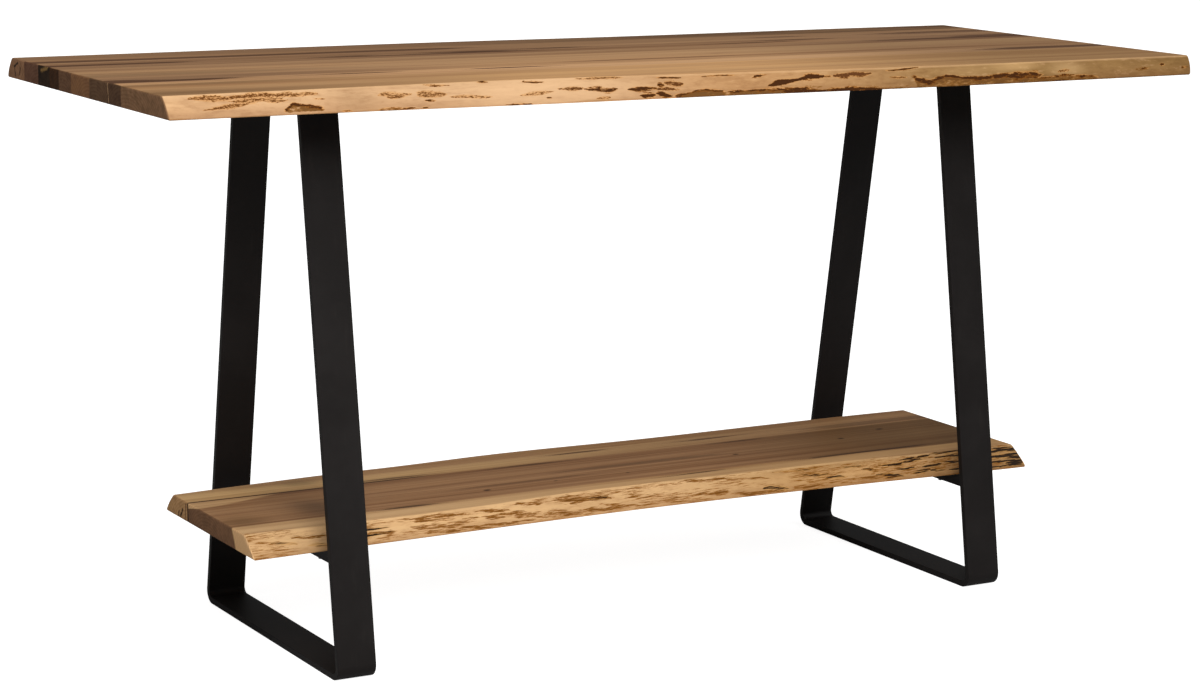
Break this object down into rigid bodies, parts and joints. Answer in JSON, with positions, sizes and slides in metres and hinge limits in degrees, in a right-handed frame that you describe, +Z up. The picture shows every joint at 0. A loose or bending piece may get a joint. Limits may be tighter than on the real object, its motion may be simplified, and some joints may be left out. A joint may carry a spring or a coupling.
{
  "type": "live edge bar table",
  "caption": "Bar-height table with a glued-up live edge plank top on splayed frames of bent black flat bar, and a live edge plank shelf on low rungs.",
  "frame": {"origin": "on the floor, under the middle of the table", "axes": "+X along the table's length, to the right as seen from the front; +Y to the back; +Z up"},
  "size_m": [2.145, 0.8601, 1.0668],
  "materials": {
    "top_boards": "satin lacquer on spalted maple",
    "shelf_boards": "satin lacquer on spalted maple",
    "black_steel": "satin black paint",
    "zinc_fasteners": "bright zinc",
    "brass_inserts": "plain brass"
  },
  "bodies": {
    "root": {"top_front_live_edge_board": "top_boards", "top_board_2": "top_boards", "top_board_3": "top_boards", "top_board_4": "top_boards", "top_board_5": "top_boards", "top_board_6": "top_boards", "top_board_7": "top_boards", "top_board_8": "top_boards", "top_back_live_edge_board": "top_boards", "shelf_front_live_edge_board": "shelf_boards", "shelf_back_live_edge_board": "shelf_boards", "left_leg_frame": "black_steel", "left_top_plate": "black_steel", "left_shelf_rung": "black_steel", "left_frame_welds": "black_steel", "left_top_bolts": "zinc_fasteners", "left_top_washers": "zinc_fasteners", "left_shelf_screws": "zinc_fasteners", "left_threaded_inserts": "brass_inserts", "right_leg_frame": "black_steel", "right_top_plate": "black_steel", "right_shelf_rung": "black_steel", "right_frame_welds": "black_steel", "right_top_bolts": "zinc_fasteners", "right_top_washers": "zinc_fasteners", "right_shelf_screws": "zinc_fasteners", "right_threaded_inserts": "brass_inserts"}
  },
  "joints": []
}
